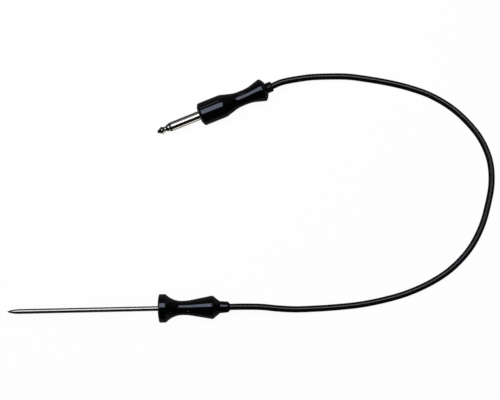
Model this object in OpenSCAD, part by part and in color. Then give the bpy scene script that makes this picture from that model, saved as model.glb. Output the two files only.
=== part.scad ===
// Food temperature probe: a steel needle in a guarded handle, a screened cord and a phone plug.
// Millimetres. The origin is on the needle's axis at the front face of the handle,
// +X runs from the needle towards the cord and +Z is up. The probe lies on a flat
// surface that touches the guard of the handle from below.

/* [Needle] */
// Outside diameter of the needle tube
needle_d = 3.4; // [3:0.1:4]
// Wall thickness of the needle tube
needle_wall = 0.35; // [0.3:0.05:0.4]
// Length of needle in front of the handle, point included
needle_len = 105.5; // [80:0.5:150]
// Length of the ground point
point_len = 8.4; // [6:0.2:12]
// Fullness of the point: 0.5 is an ellipse, 1 is a parabola
point_power = 0.75; // [0.6:0.05:1]
// Length of the point's spigot inside the tube
spigot_len = 3; // [2:0.5:5]
// How much the tube is drawn down in diameter where it enters the handle
tang_step = 0.5; // [0.4:0.1:0.6]
// Length of tang behind the retaining collar
tang_tail = 1; // [0.5:0.5:3]

/* [Sensor] */
// Diameter of the thermistor bead
bead_d = 1.6; // [1.2:0.1:1.8]
// Distance from the point's spigot to the centre of the bead
bead_setback = 1.6; // [1.2:0.1:3]
// Length of the filler that pots the bead
filler_len = 8; // [5:0.5:12]
// Diameter of each bead lead
lead_d = 0.3; // [0.2:0.05:0.35]
// Spacing of the two leads
lead_pitch = 0.8; // [0.6:0.1:1]
// Diameter of the two-hole sleeving round the leads
sleeving_d = 1.9; // [1.7:0.05:2]
// Length of sleeving that stands out behind the tang
sleeving_tail = 2; // [1:0.5:3]
// Length of bare lead between the sleeving and the splices
lead_run = 1.8; // [1.2:0.1:3]

/* [Handle] */
// Diameter of the guard at the front of the handle
guard_d = 20; // [18:0.5:24]
// Distance from the front face to the rear edge of the guard
guard_len = 5.5; // [4:0.5:7]
// Height of the dome on the front face
guard_dome = 0.75; // [0.4:0.05:1.2]
// Rounding of the guard's front edge
guard_round = 0.9; // [0.4:0.1:1.5]
// Diameter of the flat on the front face that the needle seats on
seat_d = 5; // [4.5:0.5:7]
// Diameter of the handle at its waist
waist_d = 10; // [9.6:0.2:11]
// Distance from the front face to the waist
waist_x = 17; // [14:0.5:20]
// Radius of the hollow between the guard and the waist
guard_hollow_r = 15.6; // [12:0.2:20]
// Radius of the long hollow behind the waist
grip_hollow_r = 38; // [25:1:60]
// Diameter of the rear end of the handle
grip_d = 16.4; // [15:0.2:19]
// Distance from the front face to the end cap
grip_len = 38; // [35:0.2:46]
// Rounding of the rim where the end cap meets the handle
rim_round = 0.25; // [0.1:0.05:0.4]
// Thickness of the front wall that the tang passes through
front_wall = 6; // [4:0.5:8]
// Diameter of the chamber inside the handle
chamber_d = 6.6; // [6.4:0.1:7]
// Diameter of the socket for the end cap
socket_d = 10.6; // [10:0.2:11.4]
// Depth of the socket for the end cap
socket_len = 7.2; // [5:0.2:8]

/* [End cap] */
// Length of the cone on the end cap
cone_len = 4.9; // [4:0.1:8]
// Diameter of the neck behind the cone
neck_d = 8.5; // [8:0.1:9.5]
// Diameter of the neck at its end
neck_end_d = 7.7; // [7.2:0.1:8]
// Length of the neck
neck_len = 5.6; // [4:0.1:9]
// Length of the chamfer at the end of the neck
neck_chamfer = 1.3; // [0.8:0.1:1.6]
// Diameter at the mouth where the cord comes out
mouth_d = 5.4; // [5.2:0.1:6]
// Thickness of the lip that keeps the bushing in the neck
lip_len = 3.2; // [2:0.2:4]
// Outside diameter of the rubber bushing in the neck
bushing_d = 5.8; // [5.4:0.1:6]
// Depth of the recess for the cord anchor
anchor_recess = 4.8; // [3:0.2:6]

/* [Cord] */
// Outside diameter of the cord
cord_d = 4.5; // [4.2:0.1:4.8]
// Diameter over the braided screen
screen_d = 3; // [2.8:0.1:3.2]
// Diameter over the core insulation
core_d = 2.7; // [2.2:0.1:2.7]
// Diameter of the conductor
conductor_d = 0.8; // [0.5:0.1:1]
// Wall thickness of the cord anchor
anchor_wall = 0.95; // [0.6:0.05:0.95]
// Length of cord jacket in front of the cord anchor
jacket_tail = 1.5; // [1:0.5:3]
// Length of bare screen at each end of the cord
bare_screen = 2.5; // [2:0.5:4]
// Length of bare core insulation in the handle
bare_core = 3.5; // [2:0.5:4]
// Length of bare conductor in each joint
bare_wire = 3.5; // [2.5:0.5:4]

/* [Splices] */
// Bore of the two crimp barrels
splice_bore = 0.9; // [0.8:0.1:1.1]
// Wall of the two crimp barrels
splice_wall = 0.4; // [0.3:0.05:0.5]
// Length of each crimp barrel
splice_len = 6; // [5:0.5:7]
// Wall of the shrink sleeve over the core splice
shrink_wall = 0.25; // [0.15:0.05:0.3]
// Length of shrink sleeve past each end of the core splice
shrink_over = 0.4; // [0.2:0.1:0.6]
// Diameter of the twisted screen tail
pigtail_d = 0.8; // [0.6:0.1:0.8]

/* [Plug pin] */
// Diameter of the plug pin
pin_d = 6.35; // [6.3:0.05:6.4]
// Length of the plug pin in front of the housing
pin_len = 31.6; // [30:0.1:34]
// Length of the tip contact
tip_len = 8.9; // [8.6:0.1:9.5]
// Diameter of the blunt nose
nose_d = 1.4; // [1:0.1:2]
// Diameter of the ball behind the nose
ball_d = 5.2; // [5:0.1:5.8]
// Distance from the nose to the ball
ball_x = 3.4; // [3:0.1:4]
// Diameter of the groove that the socket's spring drops into
groove_d = 3.4; // [3.2:0.1:4.2]
// Distance from the nose to the groove
groove_x = 5.8; // [5:0.1:6.4]
// Diameter of the tip's shoulder
tip_shoulder_d = 5.2; // [5:0.1:6]
// Distance from the nose to the tip's shoulder
tip_shoulder_x = 8.5; // [7.8:0.1:8.6]
// Width of the insulating ring behind the tip
ring_len = 1.5; // [0.8:0.1:2]
// Diameter of the insulating ring
ring_d = 6; // [5.8:0.1:6]
// Diameter of the rod that carries the tip
rod_d = 2.4; // [2:0.1:2.6]
// Wall of the insulating tube round the rod
tube_wall = 0.8; // [0.5:0.05:0.9]
// Diameter of the flange that closes the front of the housing
flange_d = 10; // [9.6:0.2:11]
// Thickness of that flange
flange_len = 2; // [1.5:0.25:3]
// Diameter of the threaded boss behind the flange
boss_d = 8.8; // [8.6:0.1:9]
// Length of the threaded boss
boss_len = 8; // [6:0.5:10]

/* [Plug contacts] */
// Thickness of the two solder lugs
lug_t = 0.5; // [0.4:0.1:0.6]
// Diameter of the sleeve lug where it bears on the boss
sleeve_lug_d = 7.6; // [7.4:0.1:8]
// Diameter of the insulating washer between the lugs
washer_d = 4.8; // [4.4:0.1:5.2]
// Thickness of the insulating washer
washer_t = 1.5; // [1:0.1:2]
// Diameter of the tip lug
tip_lug_d = 4.6; // [4.4:0.1:5]
// Width of the tip lug's tail
tail_w = 2.4; // [2:0.1:2.6]
// Length of the tip lug's tail along the cord
tail_len = 5; // [4:0.5:6]
// Diameter of the head that holds the tip lug on the rod
rivet_d = 3; // [2.8:0.1:3.2]
// Thickness of that head
rivet_t = 0.8; // [0.6:0.1:1]
// Width of the sleeve lug's arm
arm_w = 2.6; // [2:0.1:2.8]
// Thickness of the sleeve lug's arm
arm_t = 0.6; // [0.4:0.1:0.7]
// Clearance between the arm and what it passes
arm_gap = 0.2; // [0.1:0.05:0.3]
// Length of the clamp round the cord jacket
clamp_len = 5; // [4:0.5:6]
// Wall of the clamp
clamp_wall = 0.6; // [0.5:0.1:0.7]
// Opening angle of the clamp
clamp_gap_angle = 50; // [30:5:70]

/* [Plug housing] */
// Diameter of the housing at its front
housing_d = 16.4; // [15:0.2:18]
// Length of the straight front stretch
housing_front = 17.8; // [15:0.2:20]
// Length of the housing
housing_len = 50.8; // [48:0.2:54]
// Distance that the front face falls back from the flange to the front edge
housing_slope = 1.4; // [0.4:0.1:2]
// Rounding of the front edge
housing_round = 1.5; // [0.8:0.1:2]
// Diameter of the housing at its waist
housing_waist_d = 10.6; // [10.2:0.1:11]
// Distance from the front face to the start of the waist
housing_waist_x = 31.2; // [30:0.2:32]
// Length of the straight waist
housing_waist_len = 3; // [1:0.5:4]
// Radius of the hollow in front of the waist
front_hollow_r = 22; // [16:1:30]
// Radius of the hollow behind the waist
rear_hollow_r = 24; // [16:1:30]
// Diameter of the rear rim
rear_d = 16.5; // [15:0.1:18]
// Distance from the rear rim to the end of the housing
rear_rim = 3.1; // [2.8:0.1:4]
// Rounding of the rear rim
rear_round = 1.2; // [0.6:0.1:1.4]
// Radius of the domed rear end
rear_dome_r = 11.5; // [10:0.5:16]
// Length of the wide front bore, which holds the boss and the liner
wide_bore_len = 22; // [20:0.5:24]
// Diameter of the bore through the waist
waist_bore_d = 7.8; // [7.6:0.1:8]
// Thickness of the rear wall that the grommet snaps into
rear_wall = 3; // [2.5:0.1:4]
// Wall of the insulating liner
liner_wall = 0.25; // [0.2:0.05:0.3]
// Length of the liner
liner_len = 9; // [7:0.5:9]

/* [Grommet] */
// Diameter of the grommet outside the housing
grommet_d = 7.3; // [7:0.1:7.6]
// Length of the grommet outside the housing
grommet_len = 4.3; // [3.5:0.1:6]
// Rounding of the grommet's end
grommet_round = 1.1; // [0.6:0.1:1.2]
// Diameter of the grommet's neck in the rear wall
grommet_neck_d = 5.8; // [5.5:0.1:5.9]
// Length of the grommet's flange inside the housing
grommet_flange_len = 2.5; // [2:0.1:3]

/* [Layout] */
// Place of the cord's exit from the plug, along X
plug_exit_x = 83.5; // [70:0.1:100]
// Place of the cord's exit from the plug, along Y
plug_exit_y = 154; // [140:0.1:160]
// Direction of the plug, turned from +X
plug_turn = 20.6; // [10:0.2:30]

/* [Fits] */
// Radial clearance between pieces that fit into each other
fit_gap = 0.03; // [0.02:0.01:0.05]
// Clearance between ends that butt
butt_gap = 0.1; // [0.05:0.05:0.2]

/* [Hidden] */
$fn = 64;

cut = 1;          // how far a cutter runs past the face that it opens
wire_sides = 24;  // sides of the thin wires
bend_swell = 1.2; // how much thicker a thin wire is at a bend
cord_sides = 12;  // sides of the free cord
cord_steps = 2;   // rings of the free cord for each stretch of its route
arc_steps = 10;   // straight stretches in each turned arc
round_steps = 4;  // straight stretches in each small rounding

// End cap and the end of the cord in the handle
socket_x = grip_len - socket_len;
cone_end = grip_len + 2 * rim_round + cone_len;
neck_end = cone_end + neck_len;
handle_exit = neck_end + neck_chamfer;
bushing_end = handle_exit - lip_len;
cap_front = socket_x + butt_gap;
bushing_x = cap_front + anchor_recess;
anchor_x = cap_front + butt_gap;
anchor_d = cord_d + 2 * fit_gap + 2 * anchor_wall;
jacket_x = anchor_x - jacket_tail;
screen_x = jacket_x - bare_screen;
core_x = screen_x - bare_core;
wire_x = core_x - bare_wire;
splice_end = core_x - butt_gap - shrink_over;
splice_x = splice_end - splice_len;
splice_d = splice_bore + 2 * splice_wall;
shrink_d = splice_d + 2 * fit_gap + 2 * shrink_wall;
pigtail_y = -max(screen_d + pigtail_d, shrink_d + splice_d) / 2 - butt_gap;

// Needle: its tang and collar reach back to where the leads need room to splay
tang_d = needle_d - tang_step;
needle_bore = needle_d - 2 * needle_wall;
tang_bore = tang_d - 2 * needle_wall;
point_x = point_len - needle_len;
spigot_x = point_x + spigot_len;
bead_x = spigot_x + bead_setback;
filler_x = spigot_x + filler_len;
sleeving_end = splice_x - shrink_over - lead_run;
tang_end = sleeving_end - sleeving_tail;
collar_end = tang_end - tang_tail;

// Plug, measured from the nose of the tip along its own axis
ring_end = tip_len + ring_len;
flange_end = pin_len + flange_len;
boss_end = flange_end + boss_len;
washer_x = boss_end + lug_t;
tip_lug_x = washer_x + washer_t;
rivet_x = tip_lug_x + lug_t;
tube_d = rod_d + 2 * fit_gap + 2 * tube_wall;
tail_x = rivet_x + rivet_t + butt_gap;
tail_y = conductor_d / 2 + fit_gap;
tail_end = tail_x + tail_len;
plug_core_x = tail_end + butt_gap;
plug_screen_x = plug_core_x + bare_core;
plug_jacket_x = plug_screen_x + bare_screen;
plug_wire_x = tail_x + lug_t;
clamp_x = plug_jacket_x + jacket_tail;
clamp_bore = cord_d + 2 * fit_gap;
arm_y = max(washer_d, cord_d) / 2 + arm_gap;
wide_bore = boss_d + 2 * fit_gap;
liner_x = rivet_x - butt_gap;
housing_end = pin_len + housing_len;
waist_bore_x = pin_len + wide_bore_len;
grommet_neck_x = housing_end - rear_wall;
plug_exit = housing_end + grommet_len;
grommet_bore = cord_d + 2 * fit_gap;

// Heights: the guard and the plug housing both rest on the surface
surface_z = -guard_d / 2;
cord_lie_z = surface_z + cord_d / 2;
plug_z = surface_z + housing_d / 2;
plug_direction = [cos(plug_turn), sin(plug_turn), 0];
plug_end = [plug_exit_x, plug_exit_y, plug_z];

// Route of the cord: x, y and the rise of its centre above where it lies flat
exit_run = 8;     // straight stretch at each exit
cord_route = [
    [72, -0.5, 6.9], [84, -2, 4.9], [96, -3, 2.5], [108, -3, 0.8], [122, -2.5, 0.1],
    [141, -1, 0], [158.5, 2, 0], [175.5, 6.5, 0], [193, 14, 0], [207.5, 23.5, 0],
    [220, 36.5, 0], [228.5, 51.5, 0], [233.5, 67, 0], [236.5, 83, 0], [235.5, 99, 0],
    [229.5, 114, 0], [220, 126.5, 0], [208.5, 137, 0], [194.5, 145.5, 0], [180, 151, 0],
    [165, 155, 0], [146.5, 158.5, 0.1], [134, 160, 0.7], [115, 160, 3.3],
    [104, 159, 5]
];
cord_points = concat(
    [[handle_exit, 0, 0], [handle_exit + exit_run, 0, 0]],
    [for (p = cord_route) [p[0], p[1], cord_lie_z + p[2]]],
    [plug_end + exit_run * plug_direction, plug_end]
);

// ---- Outlines ----

function unit(v) = v / norm(v);
function reversed(list) = [for (i = [len(list) - 1:-1:0]) list[i]];

// Points of a rounding of radius r at corner b between a and c, no longer than its sides allow
function rounding(a, b, c, r) =
    let(u = unit(a - b), v = unit(c - b), half = acos(u * v) / 2)
    let(t = min(r / tan(half), 0.49 * norm(a - b), 0.49 * norm(c - b)))
    let(radius = t * tan(half), centre = b + unit(u + v) * radius / sin(half))
    let(from = b + u * t - centre, to = b + v * t - centre)
    let(start = atan2(from[1], from[0]), sweep = atan2(to[1], to[0]) - start)
    let(turn = sweep > 180 ? sweep - 360 : sweep < -180 ? sweep + 360 : sweep)
    [for (i = [0:round_steps])
        centre + radius * [cos(start + turn * i / round_steps), sin(start + turn * i / round_steps)]];

// An outline whose corners are [x, radius] or, where they are rounded, [x, radius, rounding]
function rounded(corners) = [
    for (i = [0:len(corners) - 1])
        let(corner = corners[i], here = [corner[0], corner[1]])
        each len(corner) < 3 ? [here]
            : rounding([corners[i - 1][0], corners[i - 1][1]], here,
                [corners[i + 1][0], corners[i + 1][1]], corner[2])
];

// A hollow that leaves the waist level, follows radius r and runs straight on to the edge
function hollow(waist, edge, r) =
    let(run = abs(edge[0] - waist[0]), rise = edge[1] - waist[1], side = sign(edge[0] - waist[0]))
    let(radius = min(r, (run * run + rise * rise) / (2 * rise)), drop = radius - rise)
    let(turn = atan2(run, drop) - acos(min(1, radius / norm([run, drop]))))
    [for (i = [0:arc_steps])
        let(a = turn * i / arc_steps)
        [waist[0] + side * radius * sin(a), waist[1] + radius * (1 - cos(a))]];

// ---- Basic shapes, all along X ----

module turned(outline) {
    rotate([0, 90, 0]) rotate_extrude() polygon([for (p = outline) [p[1], p[0]]]);
}

module rod(from, to, d) {
    translate([from, 0, 0]) rotate([0, 90, 0]) cylinder(h = to - from, d = d);
}

module ring(from, to, d, bore) {
    difference() {
        rod(from, to, d);
        rod(from - cut, to + cut, bore);
    }
}

// A round wire through a list of points, slightly swollen at its bends
module wire(points, d) {
    for (i = [0:len(points) - 2]) {
        run = points[i + 1] - points[i];
        translate(points[i])
            rotate([0, acos(run[2] / norm(run)), atan2(run[1], run[0])])
                cylinder(h = norm(run), d = d, $fn = wire_sides);
        if (i > 0) translate(points[i]) sphere(d = bend_swell * d, $fn = wire_sides);
    }
}

// Puts what is modelled along the plug's own axis where the plug lies
module at_plug() {
    translate(plug_end - plug_exit * plug_direction) rotate([0, 0, plug_turn]) children();
}

// ---- Needle ----

// Drawn tube with a shouldered tang: the shoulder seats on the handle's front face
module needle_tube() {
    color("silver") difference() {
        union() {
            rod(point_x, 0, needle_d);
            rod(0, tang_end, tang_d);
        }
        rod(point_x - cut, -needle_wall, needle_bore);
        rod(-needle_wall - cut, tang_end + cut, tang_bore);
    }
}

// Ground point, welded into the open end of the tube
module needle_point() {
    steps = 12;
    r = needle_d / 2;
    color("silver") turned(concat(
        [for (i = [0:steps])
            let(s = i / steps, run = point_len * s * s)
            [point_x - point_len + run, r * pow(1 - pow(1 - s * s, 2), point_power)]],
        [[point_x, needle_bore / 2 - fit_gap], [spigot_x, needle_bore / 2 - fit_gap], [spigot_x, 0]]
    ));
}

module thermistor_bead() {
    color("saddlebrown") translate([bead_x, 0, 0]) sphere(d = bead_d);
}

// Heat-conducting filler that fixes the bead in the tube
module tip_filler() {
    color("gainsboro") difference() {
        rod(spigot_x + butt_gap, filler_x, needle_bore - 2 * fit_gap);
        translate([bead_x, 0, 0]) sphere(d = bead_d + 2 * fit_gap);
        for (side = [-1, 1]) translate([0, side * lead_pitch / 2, 0])
            rod(bead_x, filler_x + cut, lead_d + 2 * fit_gap);
    }
}

// Two fine leads: one goes to the core splice on the axis, the other to the screen splice
module thermistor_leads() {
    start_x = bead_x + bead_d / 2;
    half = lead_pitch / 2;
    color("orangered") {
        wire([[start_x, half, 0], [sleeving_end, half, 0], [splice_x, 0, 0],
            [wire_x - butt_gap, 0, 0]], lead_d);
        wire([[start_x, -half, 0], [sleeving_end, -half, 0], [splice_x - shrink_over, pigtail_y, 0],
            [splice_x + splice_len / 2 - butt_gap, pigtail_y, 0]], lead_d);
    }
}

// Insulating sleeving with one hole for each lead
module lead_sleeving() {
    color("ivory") difference() {
        rod(filler_x + butt_gap, sleeving_end, sleeving_d);
        for (side = [-1, 1]) translate([0, side * lead_pitch / 2, 0])
            rod(filler_x, sleeving_end + cut, lead_d + 2 * fit_gap);
    }
}

// Brass collar brazed on the tang: with the tube's shoulder it grips the handle's front wall
module needle_collar() {
    chamfer = 0.6;
    d = chamber_d - 4 * fit_gap;
    color("goldenrod") difference() {
        turned([[front_wall, 0], [front_wall, d / 2], [collar_end - chamfer, d / 2],
            [collar_end, d / 2 - chamfer], [collar_end, 0]]);
        rod(front_wall - cut, collar_end + cut, tang_d + 2 * fit_gap);
    }
}

// ---- Handle ----

// Turned grip with a guard at the front, a waist and a socket for the end cap
module handle_body() {
    guard_r = guard_d / 2;
    slope = atan2(2 * guard_dome, guard_r - guard_round);
    dome_r = guard_r - guard_round * (1 - sin(slope));
    dome = [for (i = [0:arc_steps])
        let(s = i / arc_steps) [guard_dome * s * s, seat_d / 2 + (dome_r - seat_d / 2) * s]];
    edge = [for (i = [1:round_steps])
        let(a = 180 - slope - (90 - slope) * i / round_steps)
        [guard_dome + guard_round * (cos(slope) + cos(a)), guard_r - guard_round * (1 - sin(a))]];
    waist = [waist_x, waist_d / 2];
    front_hollow = reversed(hollow(waist, [guard_len, guard_r], guard_hollow_r));
    rear_hollow = hollow(waist, [grip_len - rim_round, grip_d / 2], grip_hollow_r);
    color([0.06, 0.06, 0.07]) difference() {
        turned(concat([[0, 0]], dome, edge, [[guard_len, guard_r]], front_hollow, rear_hollow,
            [[grip_len - rim_round, grip_d / 2], [grip_len, grip_d / 2 - rim_round], [grip_len, 0]]));
        rod(-cut, front_wall + cut, tang_d + 2 * fit_gap);
        rod(front_wall, grip_len + cut, chamber_d);
        rod(socket_x, grip_len + cut, socket_d);
    }
}

// Cone and neck, with a spigot that screws into the handle
module handle_end_cap() {
    spigot_r = socket_d / 2 - fit_gap;
    grip_r = grip_d / 2;
    color([0.07, 0.07, 0.08]) difference() {
        turned(rounded([[cap_front, 0], [cap_front, spigot_r], [grip_len, spigot_r],
            [grip_len, grip_r - rim_round], [grip_len + rim_round, grip_r],
            [grip_len + 2 * rim_round, grip_r], [cone_end, neck_d / 2, 1.5],
            [neck_end, neck_end_d / 2, 0.3], [handle_exit, mouth_d / 2], [handle_exit, 0]]));
        rod(cap_front - cut, bushing_x, chamber_d);
        rod(bushing_x - cut, bushing_end, bushing_d + 2 * fit_gap);
        rod(bushing_end - cut, handle_exit + cut, cord_d + 2 * fit_gap);
    }
}

// Rubber bushing that grips the cord in the neck
module cord_bushing() {
    color("dimgray") ring(bushing_x, bushing_end - butt_gap, bushing_d, cord_d + 2 * fit_gap);
}

// Ferrule crimped on the cord jacket: it bears on the end cap and takes the pull
module cord_anchor() {
    color("goldenrod") ring(anchor_x, bushing_x - butt_gap, anchor_d, cord_d + 2 * fit_gap);
}

// ---- End of the cord in the handle, stripped layer by layer ----

module handle_cord_jacket() {
    color([0.08, 0.08, 0.08]) ring(jacket_x, handle_exit, cord_d, screen_d + 2 * fit_gap);
}

module handle_cord_screen() {
    color("peru") ring(screen_x, handle_exit, screen_d, core_d + 2 * fit_gap);
}

module handle_cord_core() {
    color("white") ring(core_x, handle_exit, core_d, conductor_d + 2 * fit_gap);
}

module handle_cord_wire() {
    color("peru") rod(wire_x, handle_exit, conductor_d);
}

// Crimp barrel that joins one bead lead to the conductor
module core_splice() {
    color("gold") ring(splice_x, splice_end, splice_d, splice_bore);
}

// Shrink sleeve over the core splice
module splice_sleeve() {
    color("crimson")
        ring(splice_x - shrink_over, splice_end + shrink_over, shrink_d, splice_d + 2 * fit_gap);
}

// Crimp barrel that joins the other bead lead to the screen
module screen_splice() {
    color("gold") translate([0, pigtail_y, 0]) ring(splice_x, splice_end, splice_d, splice_bore);
}

// Twisted tail of the screen, soldered along the bare braid
module screen_pigtail() {
    color("peru") translate([0, pigtail_y, 0])
        rod(splice_x + splice_len / 2, jacket_x - butt_gap, pigtail_d);
}

// ---- Free cord ----

function spline(a, b, c, d, t) =
    0.5 * (2 * b + (c - a) * t + (2 * a - 5 * b + 4 * c - d) * t * t
        + (3 * b - a - 3 * c + d) * t * t * t);

// The route with cord_steps points for each stretch
function smooth_route(p) =
    let(last = len(p) - 1)
    let(q = concat([2 * p[0] - p[1]], p, [2 * p[last] - p[last - 1]]))
    concat([for (i = [1:last], k = [0:cord_steps - 1])
        spline(q[i - 1], q[i], q[i + 1], q[i + 2], k / cord_steps)], [p[last]]);

// A tube of cord_sides sides along a path that is never upright, square to start and end
module tube_along(path, d, start, end) {
    last = len(path) - 1;
    rings = [for (i = [0:last])
        let(ahead = i == 0 ? start : i == last ? end : unit(path[i + 1] - path[i - 1]))
        let(side = unit(cross([0, 0, 1], ahead)), up = cross(ahead, side))
        for (k = [0:cord_sides - 1])
            let(a = 360 * (k + 0.5) / cord_sides)
            path[i] + d / 2 * (cos(a) * side + sin(a) * up)];
    sides = [for (i = [0:last - 1], k = [0:cord_sides - 1])
        let(a = i * cord_sides + k, b = i * cord_sides + (k + 1) % cord_sides)
        [a, a + cord_sides, b + cord_sides, b]];
    ends = [[for (k = [0:cord_sides - 1]) k],
        [for (k = [cord_sides - 1:-1:0]) last * cord_sides + k]];
    polyhedron(rings, concat(sides, ends));
}

module cord() {
    color([0.08, 0.08, 0.08])
        tube_along(smooth_route(cord_points), cord_d, [1, 0, 0], -plug_direction);
}

// ---- Plug ----

// Tip contact, turned in one piece with its rod, whose end is riveted over the tip lug
module plug_tip() {
    r = rod_d / 2;
    color("silver") at_plug() turned(rounded([[0, 0], [0, nose_d / 2, 0.5], [ball_x, ball_d / 2, 0.6],
        [groove_x, groove_d / 2, 0.8], [tip_shoulder_x, tip_shoulder_d / 2, 0.3],
        [tip_len, tip_shoulder_d / 2], [tip_len, r], [rivet_x, r], [rivet_x, rivet_d / 2],
        [rivet_x + rivet_t / 2, rivet_d / 2], [rivet_x + rivet_t, r], [rivet_x + rivet_t, 0]]));
}

// Insulating ring behind the tip, with the tube that lines the sleeve
module tip_insulator() {
    color([0.1, 0.1, 0.1]) at_plug() difference() {
        union() {
            rod(tip_len, ring_end, ring_d);
            rod(tip_len, washer_x, tube_d);
        }
        rod(tip_len - cut, washer_x + cut, rod_d + 2 * fit_gap);
    }
}

// Sleeve contact: barrel, flange and threaded boss in one piece
module plug_sleeve() {
    color("silver") at_plug() difference() {
        union() {
            rod(ring_end, pin_len, pin_d);
            rod(pin_len, flange_end, flange_d);
            rod(flange_end, boss_end, boss_d);
        }
        rod(ring_end - cut, boss_end + cut, tube_d + 2 * fit_gap);
    }
}

// Sleeve lug: a ring on the boss, an arm along the cord and a clamp round the jacket
module sleeve_lug() {
    clamp_d = clamp_bore + 2 * clamp_wall;
    clamp_end = clamp_x + clamp_len;
    arm_clamp_y = clamp_bore / 2 + clamp_wall / 2;
    mouth = clamp_d * tan(clamp_gap_angle / 2);
    inner = [[boss_end, -arm_y], [plug_jacket_x, -arm_y], [clamp_x, -arm_clamp_y],
        [clamp_end, -arm_clamp_y]];
    outer = [for (p = reversed(inner)) [p[0], p[1] - arm_t]];
    color("lightgray") at_plug() difference() {
        union() {
            rod(boss_end, washer_x, sleeve_lug_d);
            translate([0, 0, -arm_w / 2]) linear_extrude(arm_w) polygon(concat(inner, outer));
            rod(clamp_x, clamp_end, clamp_d);
        }
        rod(boss_end - cut, washer_x + cut, tube_d + 2 * fit_gap);
        rod(clamp_x - cut, clamp_end + cut, clamp_bore);
        translate([clamp_x - cut, 0, 0]) rotate([90, 0, 90]) linear_extrude(clamp_len + 2 * cut)
            polygon([[0, 0], [clamp_d, -mouth], [clamp_d, mouth]]);
    }
}

// Insulating washer between the two lugs
module lug_washer() {
    color("sienna") at_plug() ring(washer_x, tip_lug_x, washer_d, rod_d + 2 * fit_gap);
}

// Tip lug: a ring under the rivet head, with a tail bent down to the conductor
module tip_lug() {
    rise = tip_lug_d / 2;
    color("lightgray") at_plug() difference() {
        union() {
            rod(tip_lug_x, rivet_x, tip_lug_d);
            translate([0, 0, -tail_w / 2]) {
                translate([tip_lug_x, rise - lug_t, 0]) cube([tail_x + lug_t - tip_lug_x, lug_t, tail_w]);
                translate([tail_x, tail_y, 0]) cube([lug_t, rise - tail_y, tail_w]);
                translate([tail_x, tail_y, 0]) cube([tail_len, lug_t, tail_w]);
            }
        }
        rod(tip_lug_x - cut, rivet_x + cut, rod_d + 2 * fit_gap);
    }
}

// Solder that holds the conductor to the tip lug, and the screen to the sleeve lug's arm
module solder_joints() {
    arm_gap_d = 2 * arm_y - screen_d;
    color("gray") at_plug() {
        difference() {
            solder([(plug_wire_x + tail_end) / 2, 0, 0], tail_w);
            rod(tail_x, tail_end + cut, conductor_d + 2 * fit_gap);
            translate([tail_x, tail_y - fit_gap, -tail_w])
                cube([tail_len + cut, tail_w, 2 * tail_w]);
        }
        difference() {
            solder([(plug_screen_x + plug_jacket_x) / 2, -arm_y, 0], arm_gap_d);
            rod(plug_screen_x - cut, plug_jacket_x + cut, screen_d + 2 * fit_gap);
            translate([plug_screen_x - cut, -arm_y + fit_gap - arm_gap_d, -arm_gap_d])
                cube([bare_screen + 2 * cut, arm_gap_d, 2 * arm_gap_d]);
        }
    }
}

// A run of solder with rounded ends
module solder(centre, d) {
    half = bare_screen / 2;
    translate(centre) turned(rounded([[-half, 0], [-half, d / 2, d / 4], [half, d / 2, d / 4],
        [half, 0]]));
}

// Insulating liner round the tip lug
module plug_liner() {
    d = wide_bore - 2 * fit_gap;
    color("khaki") at_plug() ring(liner_x, liner_x + liner_len, d, d - 2 * liner_wall);
}

// Waisted housing: it screws on the boss until its front rim meets the flange
module plug_housing() {
    front_r = housing_d / 2;
    waist_r = housing_waist_d / 2;
    waist_start = pin_len + housing_waist_x;
    rim_x = housing_end - rear_rim;
    flat_r = grommet_d / 2 + fit_gap;
    flange_bore = flange_d + 2 * fit_gap;
    front_hollow = reversed(hollow([waist_start, waist_r], [pin_len + housing_front, front_r],
        front_hollow_r));
    rear_hollow = hollow([waist_start + housing_waist_len, waist_r], [rim_x, rear_d / 2],
        rear_hollow_r);
    dome_start = rear_d / 2 - rear_round;
    dome = [for (i = [0:arc_steps])
        let(r = dome_start + (flat_r - dome_start) * i / arc_steps)
        [housing_end - sqrt(pow(rear_dome_r, 2) - flat_r * flat_r) + sqrt(pow(rear_dome_r, 2) - r * r), r]];
    color([0.06, 0.06, 0.07]) at_plug() difference() {
        turned(rounded(concat([[pin_len, 0], [pin_len, flange_bore / 2],
            [pin_len + housing_slope, front_r, housing_round],
            [pin_len + housing_front, front_r]], front_hollow, rear_hollow,
            [[rim_x, rear_d / 2, rear_round]], dome, [[housing_end, 0]])));
        rod(pin_len - cut, flange_end, flange_bore);
        rod(flange_end - cut, waist_bore_x, wide_bore);
        rod(waist_bore_x - cut, grommet_neck_x, waist_bore_d);
        rod(grommet_neck_x - cut, housing_end + cut, grommet_neck_d + 2 * fit_gap);
    }
}

// Rubber grommet snapped into the rear wall: flange inside, neck in the wall, head outside
module plug_grommet() {
    flange_x = grommet_neck_x - grommet_flange_len;
    flange_r = waist_bore_d / 2 - 2 * fit_gap;
    color([0.09, 0.09, 0.09]) at_plug() difference() {
        turned(rounded([[flange_x, 0], [flange_x, flange_r], [grommet_neck_x, flange_r],
            [grommet_neck_x, grommet_neck_d / 2], [housing_end, grommet_neck_d / 2],
            [housing_end, grommet_d / 2], [plug_exit, grommet_d / 2, grommet_round],
            [plug_exit, 0]]));
        rod(flange_x - cut, plug_exit + cut, grommet_bore);
    }
}

// ---- End of the cord in the plug, stripped layer by layer ----

module plug_cord_jacket() {
    color([0.08, 0.08, 0.08]) at_plug()
        ring(plug_jacket_x, plug_exit, cord_d, screen_d + 2 * fit_gap);
}

module plug_cord_screen() {
    color("peru") at_plug() ring(plug_screen_x, plug_exit, screen_d, core_d + 2 * fit_gap);
}

module plug_cord_core() {
    color("white") at_plug() ring(plug_core_x, plug_exit, core_d, conductor_d + 2 * fit_gap);
}

module plug_cord_wire() {
    color("peru") at_plug() rod(plug_wire_x, plug_exit, conductor_d);
}

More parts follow.
